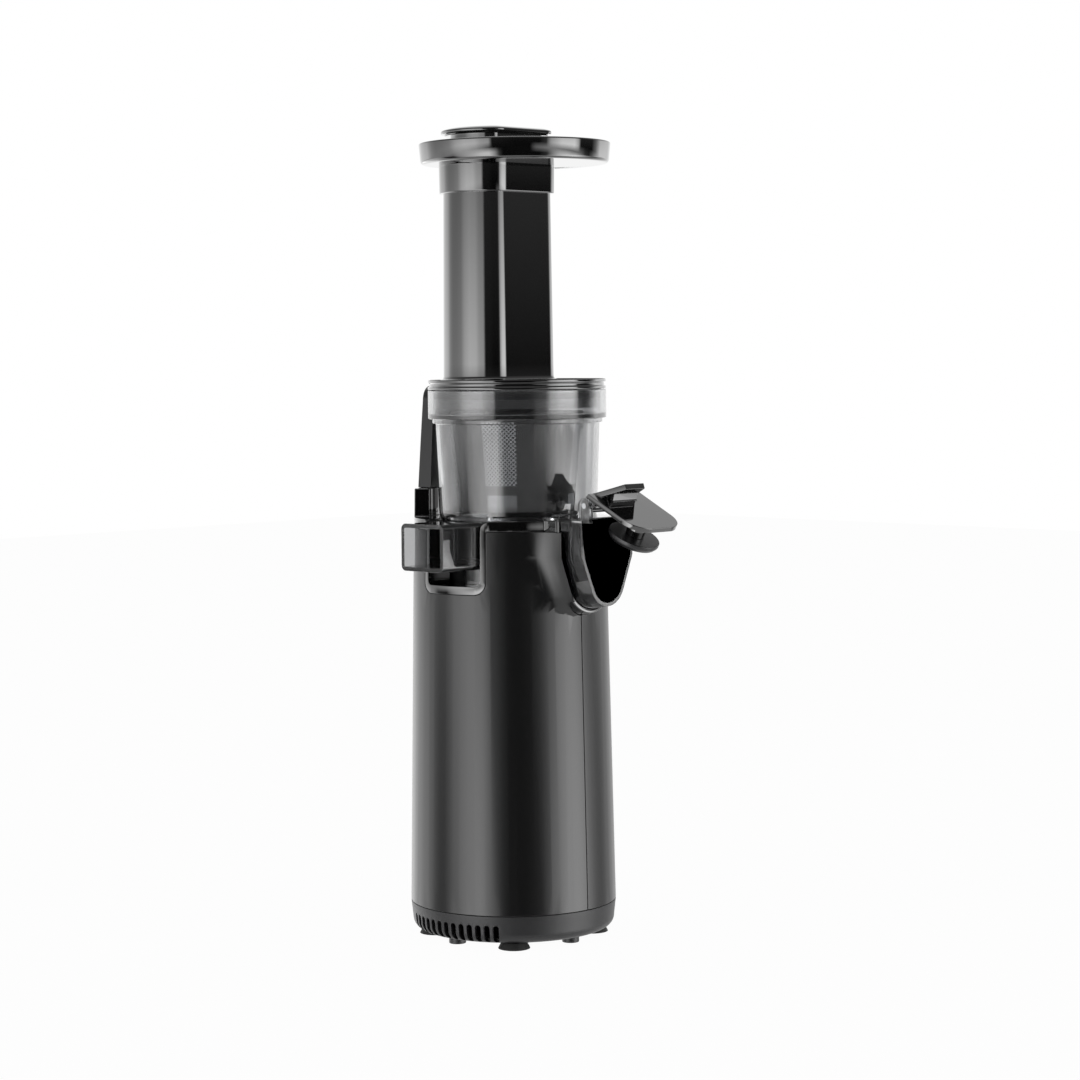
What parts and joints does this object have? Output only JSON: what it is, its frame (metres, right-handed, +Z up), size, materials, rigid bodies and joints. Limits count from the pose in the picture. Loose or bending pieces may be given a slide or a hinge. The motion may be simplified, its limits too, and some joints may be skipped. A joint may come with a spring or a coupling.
{
  "type": "cold press juicer",
  "caption": "Slim upright slow juicer: graphite body, smoky bowl with strainer and auger, gloss black lid with D-shaped feed chute, tray and pusher, pulp duct and flip-capped juice spout.",
  "frame": {"origin": "middle of the whole object's outline, on the surface that the rubber feet stand on", "axes": "+Z up; -Y is the front, where the juice spout is; -X is the side of the pulp duct; +Y is the side of the lock arm"},
  "size_m": [0.1258, 0.1662, 0.4306],
  "materials": {
    "satin_graphite": "satin moulded plastic",
    "gloss_black": "polished black plastic",
    "matte_black": "fine grained moulded plastic",
    "rocker_black": "moulded plastic",
    "black_rubber": "soft rubber",
    "smoky_clear": "clear smoky plastic",
    "grey_silicone": "translucent silicone",
    "dark_resin": "hard moulded resin",
    "steel_mesh": "perforated stainless sheet",
    "bright_steel": "turned steel",
    "cast_alloy": "die cast",
    "gear_nylon": "moulded nylon",
    "gear_brass": "machined and sintered",
    "motor_steel": "drawn steel",
    "magnet_grey": "sintered ferrite and carbon",
    "copper_winding": "enamelled winding",
    "board_green": "circuit board with parts",
    "sensor_ivory": "potted reed switch"
  },
  "bodies": {
    "root": {"left_shell": "satin_graphite", "right_shell": "satin_graphite", "bowl_seat": "gloss_black", "lock_arm": "satin_graphite", "base_cap": "matte_black", "suction_feet": "black_rubber", "gear_arbors": "bright_steel", "shaft_bushes": "gear_brass", "gearbox_case": "cast_alloy", "gearbox_cover": "cast_alloy", "gearbox_dampers": "black_rubber", "motor_can": "motor_steel", "motor_end_bell": "matte_black", "motor_bearings": "bright_steel", "motor_magnets": "magnet_grey", "motor_brushes": "magnet_grey", "control_board": "board_green", "lock_sensor": "sensor_ivory", "switch_body": "matte_black", "cord_gland": "matte_black", "seat_screws": "bright_steel", "base_screws": "bright_steel", "gearbox_screws": "bright_steel", "motor_screws": "bright_steel", "drive_screws": "bright_steel"},
    "bowl_set": {"bowl": "smoky_clear", "bowl_shaft_seal": "grey_silicone", "pulp_plug": "grey_silicone", "cap_hinge_pin": "bright_steel", "strainer_frame": "dark_resin", "strainer_mesh": "steel_mesh"},
    "cap": {"spout_cap": "gloss_black", "spout_cap_seal": "grey_silicone"},
    "auger_set": {"auger": "dark_resin", "auger_drive_insert": "bright_steel"},
    "lid_set": {"lid_chute": "gloss_black", "lid_seal": "grey_silicone", "lid_magnet": "bright_steel", "hopper_tray": "gloss_black"},
    "pusher": {"pusher_body": "gloss_black", "pusher_cap": "gloss_black"},
    "drive": {"drive_shaft": "bright_steel", "output_gear": "gear_brass"},
    "second_gear": {"gear_b": "gear_nylon"},
    "first_gear": {"gear_a": "gear_nylon"},
    "rotor": {"motor_pinion": "gear_brass", "motor_shaft": "bright_steel", "motor_armature": "copper_winding", "motor_commutator": "copper_winding", "cooling_fan": "matte_black"},
    "rocker": {"switch_rocker": "rocker_black"}
  },
  "joints": [
    {"name": "bowl_lift", "type": "slide", "parent": "root", "child": "bowl_set", "axis": [0, 0, 1], "range_m": [0, 0.06]},
    {"name": "lid_twist", "type": "hinge", "parent": "bowl_set", "child": "lid_set", "pos_m": [0.0081, 0.02003, 0.291], "axis": [0, 0, 1], "range_deg": [0, 35]},
    {"name": "pusher_lift", "type": "slide", "parent": "lid_set", "child": "pusher", "axis": [0, 0, 1], "range_m": [0, 0.12]},
    {"name": "cap_flip", "type": "hinge", "parent": "bowl_set", "child": "cap", "pos_m": [0.0081, -0.04597, 0.2312], "axis": [1, 0, 0], "range_deg": [-20, 63]},
    {"name": "drive_spin", "type": "hinge", "parent": "root", "child": "drive", "pos_m": [0.0081, 0.02003, 0.15], "axis": [0, 0, 1], "continuous": true},
    {"name": "auger_spin", "type": "hinge", "parent": "bowl_set", "child": "auger_set", "pos_m": [0.0081, 0.02003, 0.24], "axis": [0, 0, 1], "continuous": true},
    {"name": "gear_b_spin", "type": "hinge", "parent": "root", "child": "second_gear", "pos_m": [0.0201, 0.04082, 0.14], "axis": [0, 0, 1], "continuous": true},
    {"name": "gear_a_spin", "type": "hinge", "parent": "root", "child": "first_gear", "pos_m": [-0.0039, 0.04082, 0.125], "axis": [0, 0, 1], "continuous": true},
    {"name": "motor_spin", "type": "hinge", "parent": "root", "child": "rotor", "pos_m": [0.0081, 0.02003, 0.07], "axis": [0, 0, 1], "continuous": true},
    {"name": "switch_rock", "type": "hinge", "parent": "root", "child": "rocker", "pos_m": [0.0081, 0.07924, 0.072], "axis": [1, 0, 0], "range_deg": [-12, 12]}
  ],
  "couplings": [
    {"joint": "auger_spin", "follows": "drive_spin", "ratio": 1},
    {"joint": "gear_b_spin", "follows": "drive_spin", "ratio": -4},
    {"joint": "gear_a_spin", "follows": "drive_spin", "ratio": 16},
    {"joint": "motor_spin", "follows": "drive_spin", "ratio": -64}
  ]
}
